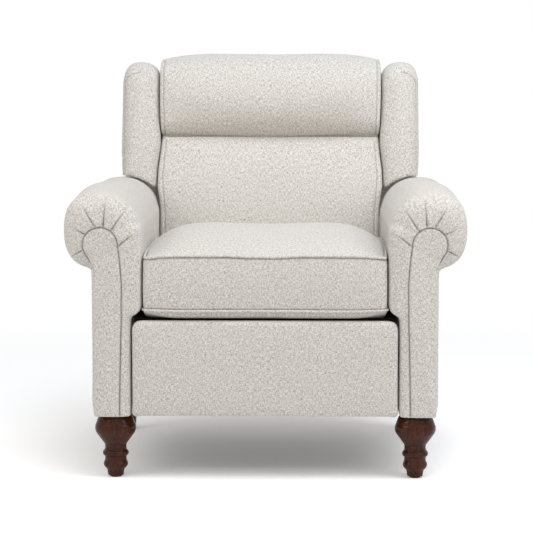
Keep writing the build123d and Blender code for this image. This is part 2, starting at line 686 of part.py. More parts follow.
# Right wing: a rounded pad beside the cushions, hollowed underneath to clear the arm's roll
WING_REAR_W = POST_W1 + SOFT_GAP
WING_LOW_U = (ROLL_Z - HINGE_Z) / cos(radians(BACK_TILT))
with BuildPart() as wing:
    with BuildSketch(back_side(WING_IN)):
        with BuildLine():
            Polyline(
                (WING_FRONT_W + WING_TOP_R, WING_TOP_U),
                (WING_REAR_W, WING_TOP_U),
                (WING_REAR_W, WING_LOW_U),
                (WING_FRONT_W, WING_LOW_U),
                (WING_FRONT_W, WING_TOP_U - WING_TOP_R),
            )
            ThreePointArc(
                (WING_FRONT_W, WING_TOP_U - WING_TOP_R),
                (WING_FRONT_W + WING_TOP_R * (1 - sqrt(0.5)), WING_TOP_U - WING_TOP_R * (1 - sqrt(0.5))),
                (WING_FRONT_W + WING_TOP_R, WING_TOP_U),
            )
        make_face()
    extrude(amount=WING_OUT - WING_IN)
    rear_edge = back_point(WING_REAR_W, (WING_LOW_U + WING_TOP_U) / 2)
    rims = wing.faces().filter_by(Axis.X).edges()
    soft_rims = [
        rim
        for rim in rims
        if rim.center().Z > back_point(WING_FRONT_W, WING_LOW_U)[1] + WING_EDGE_R
        and rim.center().Y < rear_edge[0] - WING_EDGE_R
    ]
    fillet(soft_rims, WING_EDGE_R)
    with BuildSketch(Plane.XZ.offset(-FRONT_Y)):
        with Locations((ROLL_X, ROLL_Z)):
            Circle(ROLL_R + WING_GAP)
    extrude(amount=-2 * ARM_LENGTH, mode=Mode.SUBTRACT)
    with BuildSketch(Plane.XY.offset(ROLL_Z)):
        Rectangle(4 * WING_OUT, 4 * ARM_LENGTH)
    extrude(amount=-ROLL_Z, mode=Mode.SUBTRACT)
keep_pair(wing, "wing")

# Wood block that ties the right wing to its post
with BuildPart() as wing_block:
    with BuildSketch(back_side(POST_OUT)):
        with Locations(((POST_W0 + POST_W1) / 2, (SPLIT_U + TOP_RAIL_U) / 2)):
            Rectangle(POST_D - WEB_T, TOP_RAIL_U - SPLIT_U)
    extrude(amount=WING_IN - POST_OUT)
keep_group(wing_block, "wing_blocks")

# Outside back: a padded panel, narrow between the arms and full width behind the wings, with
# returned sides that close the frame below the wings
OUTBACK_W = POST_W1 + SOFT_GAP + OUTBACK_T
OUTBACK_HALF = POST_OUT + PLATE_T + SOFT_GAP + RETURN_T
SHOULDER_U = WING_LOW_U + OUTBACK_T
RETURN_TOP_U = SPLIT_U - RETURN_T
with BuildPart() as outside_back:
    with BuildSketch(back_face(OUTBACK_W)) as back_outline:
        with Locations((0, (OUTBACK_U0 + OUTBACK_TOP_U) / 2)):
            Rectangle(2 * OUTBACK_HALF, OUTBACK_TOP_U - OUTBACK_U0)
        with Locations((0, (SHOULDER_U + OUTBACK_TOP_U) / 2)):
            Rectangle(2 * (WING_OUT - SOFT_GAP), OUTBACK_TOP_U - SHOULDER_U)
        fillet(back_outline.vertices().group_by(Axis.Z)[-1], WING_EDGE_R)
    extrude(amount=OUTBACK_T)
    rear_face = outside_back.faces().sort_by(Axis((0, 0, 0), tuple(back_face(0).z_dir)))[0]
    fillet(rear_face.edges(), OUTBACK_T / 3)
    with BuildSketch(back_face(OUTBACK_W - OUTBACK_T)):
        with Locations((0, (OUTBACK_U0 + RETURN_TOP_U) / 2)):
            with GridLocations(2 * OUTBACK_HALF - RETURN_T, 0, 2, 1):
                Rectangle(RETURN_T, RETURN_TOP_U - OUTBACK_U0)
    extrude(amount=OUTBACK_W - OUTBACK_T - BACK_PAD_W)
keep(outside_back, "outside_back")

# Footrest panel: a padded front on a plywood board
with BuildPart() as foot_pad:
    with BuildSketch(Plane.XZ.offset(-FOOT_FRONT)) as foot_outline:
        with Locations((0, (FOOT_Z0 + FOOT_Z1) / 2)):
            Rectangle(2 * FOOT_HALF, FOOT_Z1 - FOOT_Z0)
        fillet(foot_outline.vertices().group_by(Axis.Z)[-1], FOOT_CORNER_R)
    extrude(amount=-FOOT_PAD_T)
    fillet(foot_pad.faces().sort_by(Axis.Y)[0].edges(), FOOT_EDGE_R)
keep(foot_pad, "footrest_pad")
with BuildPart() as foot_board:
    with BuildSketch(Plane.XZ.offset(-FOOT_BOARD_Y)) as board_outline:
        with Locations((0, (FOOT_Z0 + FOOT_Z1) / 2)):
            Rectangle(2 * (FOOT_HALF - FOOT_BOARD_INSET), FOOT_Z1 - FOOT_Z0 - 2 * FOOT_BOARD_INSET)
        fillet(board_outline.vertices().group_by(Axis.Z)[-1], FOOT_CORNER_R)
    extrude(amount=-FOOT_BOARD_T)
keep(foot_board, "footrest_board")

# Footrest linkage on the right: drive link, extension link, tilt link and slotted control link
keep_pair(link(DRIVE_LAYER, DRIVE_PIVOT, TAIL, (DRIVE_PIVOT, KNEE, TAIL)), "drive_link")
keep_pair(
    link(EXTENSION_LAYER, CONTROL_PIN, FOOT_PIVOT, (CONTROL_PIN, KNEE, FOOT_PIVOT)), "extension_link"
)
keep_group(link(TILT_LAYER, TAIL, TILT_PIVOT, (TAIL, TILT_PIVOT)), "tilt_links")
with BuildPart() as control_link:
    slot_far = along(CONTROL_PIVOT, CONTROL_ANGLE, SLOT_END)
    slot_mid = along(CONTROL_PIVOT, CONTROL_ANGLE, (SLOT_START + SLOT_END) / 2)
    link_mid = along(CONTROL_PIVOT, CONTROL_ANGLE, SLOT_END / 2)
    with BuildSketch(side_plane(CONTROL_LAYER)):
        SlotCenterPoint(link_mid, slot_far, CONTROL_W)
        SlotCenterPoint(slot_mid, slot_far, 2 * (PIN_R + SLOT_FIT), mode=Mode.SUBTRACT)
        with Locations(CONTROL_PIVOT):
            Circle(PIN_R + PIN_FIT, mode=Mode.SUBTRACT)
    extrude(amount=LINK_T)
keep_group(control_link, "control_links")

# Pins carried by the drive and extension links, and the tube that joins the two drive links
keep_group(
    pins([(KNEE, DRIVE_LAYER, EXTENSION_LAYER + LINK_T), (TAIL, TILT_LAYER, DRIVE_LAYER + LINK_T)]),
    "drive_link_pins",
)
keep_group(pins([(CONTROL_PIN, EXTENSION_LAYER, CONTROL_LAYER + LINK_T)]), "control_pins")
tube_place = along(DRIVE_PIVOT, -90, TUBE_AT)
with BuildPart() as tube:
    with BuildSketch(side_plane(-DRIVE_LAYER)):
        with Locations(tube_place):
            Circle(TUBE_R)
            Circle(TUBE_R - TUBE_WALL, mode=Mode.SUBTRACT)
    extrude(amount=2 * DRIVE_LAYER)
keep(tube, "torque_tube")

# Steel bracket behind the footrest board, with the two pins that the links swing on
with BuildPart() as foot_bracket:
    with BuildSketch(side_plane(DRIVE_LAYER)) as bracket_outline:
        bracket_y1 = FOOT_PIVOT[0] + LINK_W / 2
        bracket_z0 = TILT_PIVOT[1] - LINK_W / 2
        bracket_z1 = FOOT_PIVOT[1] + LINK_W / 2
        with Locations(((FOOT_BACK_Y + bracket_y1) / 2, (bracket_z0 + bracket_z1) / 2)):
            Rectangle(bracket_y1 - FOOT_BACK_Y, bracket_z1 - bracket_z0)
        fillet(bracket_outline.vertices().group_by(Axis.Y)[-1], LINK_W / 3)
        with Locations(FOOT_PIVOT, TILT_PIVOT):
            Circle(PIN_R + PIN_FIT, mode=Mode.SUBTRACT)
    extrude(amount=LINK_T)
    with BuildSketch(Plane.XZ.offset(-FOOT_BACK_Y)):
        with Locations((DRIVE_LAYER - FLANGE_W / 2, (bracket_z0 + bracket_z1) / 2)):
            Rectangle(FLANGE_W, bracket_z1 - bracket_z0)
    extrude(amount=-FLANGE_T)
keep_group(foot_bracket, "footrest_brackets")
keep_group(
    pins(
        [
            (FOOT_PIVOT, DRIVE_LAYER, EXTENSION_LAYER + LINK_T),
            (TILT_PIVOT, TILT_LAYER, DRIVE_LAYER + LINK_T),
        ]
    ),
    "footrest_pins",
)
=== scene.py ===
# A rolled-arm push-back recliner in heather tweed on dark turned legs.
# Soft pieces start as frame solids, swell as cloth and are then sewn; metres, front towards -Y.
import json
import math

import bmesh
import bpy
import numpy as np
from mathutils import Matrix, Vector
from mathutils.bvhtree import BVHTree


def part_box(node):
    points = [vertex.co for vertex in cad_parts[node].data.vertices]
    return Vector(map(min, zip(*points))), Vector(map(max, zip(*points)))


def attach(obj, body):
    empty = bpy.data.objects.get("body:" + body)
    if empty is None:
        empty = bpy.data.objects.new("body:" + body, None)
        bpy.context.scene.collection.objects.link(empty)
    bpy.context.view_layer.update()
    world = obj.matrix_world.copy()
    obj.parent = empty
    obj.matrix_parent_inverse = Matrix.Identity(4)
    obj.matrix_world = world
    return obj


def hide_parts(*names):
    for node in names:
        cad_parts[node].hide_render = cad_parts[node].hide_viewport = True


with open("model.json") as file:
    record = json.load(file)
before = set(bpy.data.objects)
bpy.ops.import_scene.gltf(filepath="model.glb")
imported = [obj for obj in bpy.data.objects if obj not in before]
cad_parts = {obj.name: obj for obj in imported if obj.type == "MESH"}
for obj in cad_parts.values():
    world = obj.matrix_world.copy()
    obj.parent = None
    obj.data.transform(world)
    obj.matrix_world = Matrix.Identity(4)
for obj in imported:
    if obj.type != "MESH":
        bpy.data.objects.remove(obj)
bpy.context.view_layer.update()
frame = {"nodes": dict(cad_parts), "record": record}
nodes = frame["nodes"]
scene = bpy.context.scene
MM = 0.001
HINGE = Vector((0, 0.153, 0.331))
BACK_TILT = math.radians(17)

# Places read from the frame
roll_low, roll_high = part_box("right_arm_roll")
stump_low, stump_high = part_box("right_arm_stump")
pad_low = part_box("right_arm_inside_pad")[0]
facing_low, facing_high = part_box("right_arm_facing")
cushion_low, cushion_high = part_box("seat_cushion")
head_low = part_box("headrest_cushion")[0]
wing_low, wing_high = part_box("right_wing")
ROLL_R = (roll_high.x - roll_low.x) / 2
ROLL_X = (roll_high.x + roll_low.x) / 2
ROLL_Z = (roll_high.z + roll_low.z) / 2
FRONT_Y = facing_low.y
ARM_REAR = roll_high.y
ARM_BOTTOM = stump_low.z
SCROLL_R = 41 * MM
SCROLL_X = facing_high.x - SCROLL_R
SCROLL_Z = facing_high.z - SCROLL_R


def hex_colour(code):
    """An sRGB hex colour as linear RGBA."""
    channels = [int(code[i : i + 2], 16) / 255 for i in (1, 3, 5)]
    linear = [c / 12.92 if c <= 0.04045 else ((c + 0.055) / 1.055) ** 2.4 for c in channels]
    return (*linear, 1.0)


def add_node(tree, kind, settings=None, stops=(), **inputs):
    """Adds a node with its settings, ramp stops and inputs, each a value or a socket to link."""
    node = tree.nodes.new(kind)
    for key, value in (settings or {}).items():
        setattr(node, key, value)
    for place, _ in stops[2:]:
        node.color_ramp.elements.new(place)
    for element, (place, code) in zip(node.color_ramp.elements if stops else (), stops):
        element.position = place
        element.color = hex_colour(code)
    for key, value in inputs.items():
        socket = node.inputs[int(key[1:])] if key[1:].isdigit() else node.inputs[key.replace("_", " ")]
        if isinstance(value, bpy.types.NodeSocket):
            tree.links.new(value, socket)
        else:
            socket.default_value = value
    return node


def start_material(name):
    """A node material holding only its output; returns the material and its tree."""
    material = bpy.data.materials.new(name)
    material.use_nodes = True
    for node in list(material.node_tree.nodes):
        if node.type != "OUTPUT_MATERIAL":
            material.node_tree.nodes.remove(node)
    return material, material.node_tree


def close_material(material, shader):
    """Links a finished shader to the material's output."""
    output = next(n for n in material.node_tree.nodes if n.type == "OUTPUT_MATERIAL")
    material.node_tree.links.new(shader.outputs[0], output.inputs["Surface"])
    return material


def wave_scale(spacing):
    """The scale at which a wave texture's bands are a given spacing apart, in coordinate units."""
    return math.tau / (20 * spacing)


def heather_tweed():
    """Wool-blend tweed in oat and grey yarns, plain woven: soft, matt, with dark flecks and slubs."""
    material, tree = start_material("heather_tweed")
    # Threads 2.6 mm apart: the real ones are near 1.2 mm, too fine to show in the render
    thread = 2.6 * MM
    uv = add_node(tree, "ShaderNodeUVMap", {"uv_map": "cloth"}).outputs["UV"]
    wobble = add_node(tree, "ShaderNodeTexNoise", Vector=uv, Scale=1 / (14 * MM), Detail=2.0)
    shift = add_node(
        tree, "ShaderNodeVectorMath", {"operation": "SCALE"}, i0=wobble.outputs["Color"], Scale=0.9 * thread
    )
    cloth = add_node(
        tree, "ShaderNodeVectorMath", {"operation": "ADD"}, i0=uv, i1=shift.outputs[0]
    ).outputs[0]
    warp = add_node(
        tree, "ShaderNodeTexWave", {"bands_direction": "X"}, Vector=cloth, Scale=wave_scale(thread)
    )
    weft = add_node(
        tree, "ShaderNodeTexWave", {"bands_direction": "Y"}, Vector=cloth, Scale=wave_scale(thread)
    )
    over_x = add_node(
        tree, "ShaderNodeTexWave", {"bands_direction": "X"}, Vector=cloth, Scale=wave_scale(2 * thread)
    )
    over_y = add_node(
        tree, "ShaderNodeTexWave", {"bands_direction": "Y"}, Vector=cloth, Scale=wave_scale(2 * thread)
    )
    over = add_node(
        tree, "ShaderNodeMath", {"operation": "COMPARE"},
        i0=over_x.outputs["Fac"], i1=over_y.outputs["Fac"], i2=0.42,
    )
    weave = add_node(
        tree, "ShaderNodeMix", Factor=over.outputs[0], A=warp.outputs["Fac"], B=weft.outputs["Fac"]
    ).outputs[0]
    # Slubs: thicker, darker or paler lengths of yarn, about 1.5 mm wide and 6 to 7 mm long
    long_warp = add_node(tree, "ShaderNodeMapping", Vector=cloth, Scale=(1 / (1.5 * MM), 1 / (7 * MM), 1))
    long_weft = add_node(tree, "ShaderNodeMapping", Vector=cloth, Scale=(1 / (6 * MM), 1 / (1.5 * MM), 1))
    slub_warp = add_node(
        tree, "ShaderNodeTexNoise", Vector=long_warp.outputs[0], Scale=1.0, Detail=1.0
    ).outputs["Fac"]
    slub_weft = add_node(
        tree, "ShaderNodeTexNoise", Vector=long_weft.outputs[0], Scale=1.0, Detail=1.0
    ).outputs["Fac"]
    fleck = add_node(
        tree, "ShaderNodeTexNoise", Vector=cloth, Scale=1 / (1.9 * MM), Detail=2.0, Roughness=0.7
    ).outputs["Fac"]
    slubs = add_node(tree, "ShaderNodeMath", {"operation": "ADD"}, i0=slub_warp, i1=slub_weft).outputs[0]
    yarn = add_node(tree, "ShaderNodeMath", {"operation": "ADD"}, i0=slubs, i1=fleck).outputs[0]
    lift = add_node(
        tree, "ShaderNodeMath", {"operation": "MULTIPLY_ADD"}, i0=weave, i1=0.12, i2=-0.255
    ).outputs[0]
    tone = add_node(
        tree, "ShaderNodeMath", {"operation": "MULTIPLY_ADD"}, i0=yarn, i1=0.61, i2=lift
    ).outputs[0]
    yarns = add_node(
        tree, "ShaderNodeValToRGB", Fac=tone,
        stops=(
            (0.47, "#93887b"), (0.59, "#b5ada2"), (0.72, "#d1ccc4"), (0.84, "#e2dfda"), (0.97, "#eceae7"),
        ),
    )
    # Painted shade: along sewn lines and creases the colour darkens towards a deep grey-brown, by the share
    # each point of the cloth carries
    seam_shade = add_node(tree, "ShaderNodeAttribute", {"attribute_name": "seam_shade"}).outputs["Fac"]
    shade = add_node(
        tree, "ShaderNodeMix", {"data_type": "RGBA"},
        i0=seam_shade, i6=yarns.outputs["Color"], i7=hex_colour("#5e564d"),
    )
    height = add_node(
        tree, "ShaderNodeMath", {"operation": "MULTIPLY_ADD"}, i0=fleck, i1=0.8, i2=weave
    ).outputs[0]
    bump = add_node(tree, "ShaderNodeBump", Height=height, Strength=0.45, Distance=0.7 * MM)
    shader = add_node(
        tree, "ShaderNodeBsdfPrincipled", Base_Color=shade.outputs[2], Roughness=0.92, IOR=1.46,
        Specular_IOR_Level=0.25, Sheen_Weight=0.22, Sheen_Roughness=0.45, Normal=bump.outputs[0],
    )
    return close_material(material, shader)


def stained_beech():
    """Turned beech, stained espresso and lacquered: streaked grain under a satin coat."""
    material, tree = start_material("stained_beech")
    place = add_node(tree, "ShaderNodeTexCoord").outputs["Object"]
    # Grain streaks about 2.5 mm wide and 45 mm long, up the leg
    grain_place = add_node(
        tree, "ShaderNodeMapping", Vector=place, Scale=(1 / (2.5 * MM), 1 / (2.5 * MM), 1 / (45 * MM))
    )
    grain = add_node(
        tree, "ShaderNodeTexNoise", Vector=grain_place.outputs[0], Scale=1.0, Detail=4.0, Roughness=0.6
    ).outputs["Fac"]
    cloud = add_node(
        tree, "ShaderNodeTexNoise", Vector=place, Scale=1 / (30 * MM), Detail=2.0
    ).outputs["Fac"]
    mixed = add_node(
        tree, "ShaderNodeMath", {"operation": "MULTIPLY_ADD"}, i0=cloud, i1=0.45, i2=grain
    ).outputs[0]
    stain = add_node(
        tree, "ShaderNodeValToRGB", Fac=mixed,
        stops=((0.48, "#260e05"), (0.68, "#371608"), (0.88, "#4f240e")),
    )
    gloss = add_node(
        tree, "ShaderNodeMapRange", Value=grain, From_Min=0.3, From_Max=0.7, To_Min=0.32, To_Max=0.44
    )
    bump = add_node(tree, "ShaderNodeBump", Height=grain, Strength=0.12, Distance=0.3 * MM)
    shader = add_node(
        tree, "ShaderNodeBsdfPrincipled", Base_Color=stain.outputs["Color"], Roughness=gloss.outputs[0],
        IOR=1.52, Specular_IOR_Level=0.03, Coat_Weight=0.33, Coat_Roughness=0.1, Normal=bump.outputs[0],
    )
    return close_material(material, shader)


def frame_plywood():
    """Birch plywood and sawn hardwood, unfinished: pale, dry, with long grain."""
    material, tree = start_material("frame_plywood")
    place = add_node(tree, "ShaderNodeTexCoord").outputs["Object"]
    # Grain lines about 4 mm apart and 160 mm long
    grain_place = add_node(
        tree, "ShaderNodeMapping", Vector=place, Scale=(1 / (160 * MM), 1 / (90 * MM), 1 / (4 * MM))
    )
    grain = add_node(
        tree, "ShaderNodeTexNoise", Vector=grain_place.outputs[0], Scale=1.0, Detail=5.0, Distortion=0.6
    ).outputs["Fac"]
    wood = add_node(
        tree, "ShaderNodeValToRGB", Fac=grain,
        stops=((0.3, "#a27b50"), (0.5, "#c39d6c"), (0.72, "#d9ba8d")),
    )
    bump = add_node(tree, "ShaderNodeBump", Height=grain, Strength=0.25, Distance=0.4 * MM)
    shader = add_node(
        tree, "ShaderNodeBsdfPrincipled", Base_Color=wood.outputs["Color"], Roughness=0.7, IOR=1.5,
        Normal=bump.outputs[0],
    )
    return close_material(material, shader)


def powder_coat():
    """Pressed steel links in black powder coat: a fine orange peel with rubbed, paler patches."""
    material, tree = start_material("powder_coat")
    place = add_node(tree, "ShaderNodeTexCoord").outputs["Object"]
    # Orange peel about 0.9 mm across
    peel = add_node(
        tree, "ShaderNodeTexNoise", Vector=place, Scale=1 / (0.9 * MM), Detail=1.0
    ).outputs["Fac"]
    rub = add_node(
        tree, "ShaderNodeTexNoise", Vector=place, Scale=1 / (25 * MM), Detail=4.0
    ).outputs["Fac"]
    paint = add_node(
        tree, "ShaderNodeValToRGB", Fac=rub, stops=((0.35, "#161618"), (0.6, "#1f2022"), (0.75, "#323336"))
    )
    bump = add_node(tree, "ShaderNodeBump", Height=peel, Strength=0.2, Distance=0.1 * MM)
    shader = add_node(
        tree, "ShaderNodeBsdfPrincipled", Base_Color=paint.outputs["Color"], Roughness=0.42, IOR=1.5,
        Normal=bump.outputs[0],
    )
    return close_material(material, shader)


def drawn_wire():
    """Drawn spring steel, oiled: grey metal with a patchy tarnish."""
    material, tree = start_material("drawn_wire")
    place = add_node(tree, "ShaderNodeTexCoord").outputs["Object"]
    tarnish = add_node(
        tree, "ShaderNodeTexNoise", Vector=place, Scale=1 / (12 * MM), Detail=4.0
    ).outputs["Fac"]
    metal = add_node(
        tree, "ShaderNodeValToRGB", Fac=tarnish, stops=((0.35, "#77767a"), (0.65, "#a3a3a6"))
    )
    gloss = add_node(tree, "ShaderNodeMapRange", Value=tarnish, To_Min=0.28, To_Max=0.5)
    shader = add_node(
        tree, "ShaderNodeBsdfPrincipled", Base_Color=metal.outputs["Color"], Metallic=1.0,
        Roughness=gloss.outputs[0],
    )
    return close_material(material, shader)


def black_cloth(name, spacing, dark, pale):
    """Coarse black under-cloth or webbing: matt ribs of thread with a dusty cast."""
    material, tree = start_material(name)
    place = add_node(tree, "ShaderNodeTexCoord").outputs["Object"]
    across = add_node(
        tree, "ShaderNodeTexWave", {"bands_direction": "X"}, Vector=place, Scale=wave_scale(spacing)
    ).outputs["Fac"]
    upward = add_node(
        tree, "ShaderNodeTexWave", {"bands_direction": "Z"}, Vector=place, Scale=wave_scale(spacing)
    ).outputs["Fac"]
    weave = add_node(tree, "ShaderNodeMath", {"operation": "MULTIPLY"}, i0=across, i1=upward).outputs[0]
    dust = add_node(
        tree, "ShaderNodeTexNoise", Vector=place, Scale=1 / (18 * MM), Detail=5.0
    ).outputs["Fac"]
    mixed = add_node(
        tree, "ShaderNodeMath", {"operation": "MULTIPLY_ADD"}, i0=weave, i1=0.3, i2=dust
    ).outputs[0]
    cloth = add_node(tree, "ShaderNodeValToRGB", Fac=mixed, stops=((0.4, dark), (0.9, pale)))
    bump = add_node(tree, "ShaderNodeBump", Height=weave, Strength=0.4, Distance=0.5 * MM)
    shader = add_node(
        tree, "ShaderNodeBsdfPrincipled", Base_Color=cloth.outputs["Color"], Roughness=0.9, IOR=1.46,
        Sheen_Weight=0.1, Normal=bump.outputs[0],
    )
    return close_material(material, shader)


def moulded_nylon():
    """Moulded nylon glides: black, satin, with a fine spark-eroded grain."""
    material, tree = start_material("moulded_nylon")
    place = add_node(tree, "ShaderNodeTexCoord").outputs["Object"]
    # Mould grain about 0.6 mm across
    grain = add_node(
        tree, "ShaderNodeTexNoise", Vector=place, Scale=1 / (0.6 * MM), Detail=2.0
    ).outputs["Fac"]
    scuff = add_node(
        tree, "ShaderNodeTexNoise", Vector=place, Scale=1 / (9 * MM), Detail=4.0
    ).outputs["Fac"]
    tone = add_node(tree, "ShaderNodeValToRGB", Fac=scuff, stops=((0.4, "#151515"), (0.75, "#2b2b2a")))
    bump = add_node(tree, "ShaderNodeBump", Height=grain, Strength=0.25, Distance=0.1 * MM)
    shader = add_node(
        tree, "ShaderNodeBsdfPrincipled", Base_Color=tone.outputs["Color"], Roughness=0.55, IOR=1.53,
        Normal=bump.outputs[0],
    )
    return close_material(material, shader)


tweed = heather_tweed()
finishes = {
    "tweed": tweed,
    "leg_wood": stained_beech(),
    "frame_wood": frame_plywood(),
    "steel": powder_coat(),
    "spring_wire": drawn_wire(),
    "webbing": black_cloth("elastic_webbing", 3.2 * MM, "#121212", "#2e2d2b"),
    "deck_cloth": black_cloth("deck_cloth", 1.6 * MM, "#141312", "#322f2c"),
    "nylon": moulded_nylon(),
}
for subpart in frame["record"]["subparts"]:
    solid = nodes[subpart["node"]]
    solid.data.materials.clear()
    solid.data.materials.append(finishes[subpart["material_slot"]])
    for polygon in solid.data.polygons:
        polygon.material_index = 0


def new_piece(name, shape):
    """Turns a bmesh into an object at the origin."""
    mesh = bpy.data.meshes.new(name)
    shape.to_mesh(mesh)
    shape.free()
    piece = bpy.data.objects.new(name, mesh)
    scene.collection.objects.link(piece)
    return piece


def applied_mesh(piece):
    """The piece's mesh with its modifiers applied."""
    return bpy.data.meshes.new_from_object(piece.evaluated_get(bpy.context.evaluated_depsgraph_get()))


def copy_solids(name, *solids):
    """A merged copy of frame solids, to be cut and puffed into a soft piece."""
    shape = bmesh.new()
    for solid in solids:
        shape.from_mesh(nodes[solid].data)
    bmesh.ops.remove_doubles(shape, verts=shape.verts[:], dist=0.02 * MM)
    return new_piece(name, shape)


def even_out(piece, voxel, rounds):
    """Remeshes a piece into even quads and relaxes its corners."""
    remesh = piece.modifiers.new("even", "REMESH")
    remesh.mode = "VOXEL"
    remesh.voxel_size = voxel
    mesh = applied_mesh(piece)
    piece.modifiers.clear()
    shape = bmesh.new()
    shape.from_mesh(mesh)
    for turn in range(rounds):
        bmesh.ops.smooth_vert(
            shape, verts=shape.verts[:], factor=0.5, use_axis_x=True, use_axis_y=True, use_axis_z=True
        )
    shape.to_mesh(piece.data)
    shape.free()
    bpy.data.meshes.remove(mesh)


def read_points(mesh):
    """A mesh's points as an array."""
    points = np.zeros(len(mesh.vertices) * 3)
    mesh.vertices.foreach_get("co", points)
    return points.reshape(-1, 3)


CLOTH_STEPS = 14


def swell(piece, cap, held, pressure=4.0):
    """Puffs a piece as stuffed cloth; held gives the share by which each point is kept in place."""
    points = read_points(piece.data)
    pins = piece.vertex_groups.new(name="held")
    for index, share in enumerate(np.clip(held(points), 0, 1)):
        pins.add([index], float(share), "REPLACE")
    cloth = piece.modifiers.new("stuffing", "CLOTH")
    cloth.settings.vertex_group_mass = "held"
    cloth.settings.quality = 3
    cloth.settings.use_pressure = True
    cloth.settings.uniform_pressure_force = pressure
    cloth.settings.effector_weights.gravity = 0.0
    cloth.collision_settings.use_collision = False
    cloth.point_cache.frame_start = 1
    cloth.point_cache.frame_end = CLOTH_STEPS
    for step in range(1, CLOTH_STEPS + 1):
        scene.frame_set(step)
    swollen = applied_mesh(piece)
    moves = read_points(swollen) - points
    lengths = np.linalg.norm(moves, axis=1, keepdims=True)
    moves *= np.minimum(1, cap / np.maximum(lengths, 1e-9))
    piece.modifiers.clear()
    piece.vertex_groups.clear()
    piece.data.vertices.foreach_set("co", (points + moves).ravel())
    piece.data.update()
    bpy.data.meshes.remove(swollen)
    scene.frame_set(1)


def along_line(points, line):
    """Each point's distance to a line of places, and how far along that line it is, from 0 to 1."""
    line = np.array(line)
    runs = np.linalg.norm(np.diff(line, axis=0), axis=1)
    ends = np.concatenate([[0], np.cumsum(runs)]) / runs.sum()
    nearest = np.full(len(points), 1e9)
    share = np.zeros(len(points))
    for index, (start, end) in enumerate(zip(line, line[1:])):
        run = end - start
        part = np.clip(((points - start) @ run) / (run @ run), 0, 1)
        distance = np.linalg.norm(points - (start + part[:, None] * run), axis=1)
        closer = distance < nearest
        nearest[closer] = distance[closer]
        share[closer] = (ends[index] + part * (ends[index + 1] - ends[index]))[closer]
    return nearest, share


def sew(piece, lines, depth, width, shade=0.8, fade=False, finer=2):
    """Presses sewn lines into a piece, with a finer mesh beside them, and marks a painted shade along them
    that darkens the cloth's colour.
    """
    shape = bmesh.new()
    shape.from_mesh(piece.data)
    for turn in range(finer):
        points = np.array([vert.co for vert in shape.verts])
        near = np.zeros(len(points), bool)
        for line in lines:
            near |= along_line(points, line)[0] < 3 * width + (finer - turn) * 2 * MM
        edges = [edge for edge in shape.edges if near[edge.verts[0].index] and near[edge.verts[1].index]]
        bmesh.ops.subdivide_edges(shape, edges=edges, cuts=1, use_grid_fill=True)
        shape.verts.index_update()
    shape.normal_update()
    # Painted shade: a per-point share, 0 to 1, by which the cloth's colour is darkened along the lines
    seam_shade = shape.verts.layers.float.get("seam_shade") or shape.verts.layers.float.new("seam_shade")
    points = np.array([vert.co for vert in shape.verts])
    press = np.zeros(len(points))
    dark = np.zeros(len(points))
    for line in lines:
        distance, share = along_line(points, line)
        strength = 1 - share**2 if fade else 1
        press = np.maximum(press, strength * np.exp(-((distance / width) ** 2)))
        dark = np.maximum(dark, strength * np.exp(-((distance / (0.55 * width)) ** 2)))
    for vert, deep, tone in zip(shape.verts, press, dark):
        vert.co -= vert.normal * (depth * deep)
        vert[seam_shade] = max(vert[seam_shade], shade * tone)
    shape.to_mesh(piece.data)
    shape.free()


def surface_of(piece):
    """A piece's surface, on which places can be found."""
    return BVHTree.FromPolygons(
        [vert.co for vert in piece.data.vertices], [face.vertices for face in piece.data.polygons]
    )


def trace(piece, places, step=4 * MM):
    """Points on the front of a piece along (x, z) places, as the sewer sees it from the front."""
    surface = surface_of(piece)
    found = []
    for start, end in zip(places, places[1:]):
        count = max(2, math.ceil(math.dist(start, end) / step))
        for index in range(count + 1):
            x = start[0] + (end[0] - start[0]) * index / count
            z = start[1] + (end[1] - start[1]) * index / count
            hit = surface.ray_cast(Vector((x, FRONT_Y - 0.3, z)), Vector((0, 1, 0)))[0]
            if hit and (not found or (hit - found[-1]).length > 0.2 * step):
                found.append(hit)
    return found


def lay_cloth(piece):
    """Gives a piece its tweed, with the cloth's threads running level, upright and front to back."""
    mesh = piece.data
    mesh.materials.clear()
    mesh.materials.append(tweed)
    mesh.shade_smooth()
    count = len(mesh.polygons)
    normals = np.zeros(count * 3)
    corners = np.zeros(count, int)
    owners = np.zeros(len(mesh.loops), int)
    mesh.polygons.foreach_get("normal", normals)
    mesh.polygons.foreach_get("loop_total", corners)
    mesh.loops.foreach_get("vertex_index", owners)
    facing = np.repeat(np.argmax(np.abs(normals.reshape(-1, 3)), axis=1), corners)
    points = read_points(mesh)[owners]
    threads = np.where(facing[:, None] == 0, points[:, 1:], points[:, [0, 2]])
    threads = np.where(facing[:, None] == 2, points[:, :2], threads)
    mesh.uv_layers.new(name="cloth").data.foreach_set("uv", threads.ravel())


def dress(piece, body, fill, *stood_for):
    """Finishes a soft piece: its cloth, the body it rides on and the solids it stands for."""
    lay_cloth(piece)
    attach(piece, body)
    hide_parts(*stood_for)


def mirrored(piece, name):
    """A copy of a right-hand piece for the left side."""
    shape = bmesh.new()
    shape.from_mesh(piece.data)
    bmesh.ops.scale(shape, vec=(-1, 1, 1), verts=shape.verts[:])
    bmesh.ops.reverse_faces(shape, faces=shape.faces[:])
    return new_piece(name, shape)


def snap(piece, route, step=12 * MM):
    """A dense route laid on a piece's surface along coarse places."""
    surface = surface_of(piece)
    found = []
    for start, end in zip(route, route[1:]):
        count = max(1, round(math.dist(start, end) / step))
        for index in range(count):
            place = Vector(start).lerp(Vector(end), index / count)
            found.append(surface.find_nearest(place)[0])
    found.append(surface.find_nearest(Vector(route[-1]))[0])
    return found


def stand_proud(piece, route, rise):
    """A route moved off a piece's surface by a distance."""
    surface = surface_of(piece)
    return [place + surface.find_nearest(place)[1] * rise for place in route]


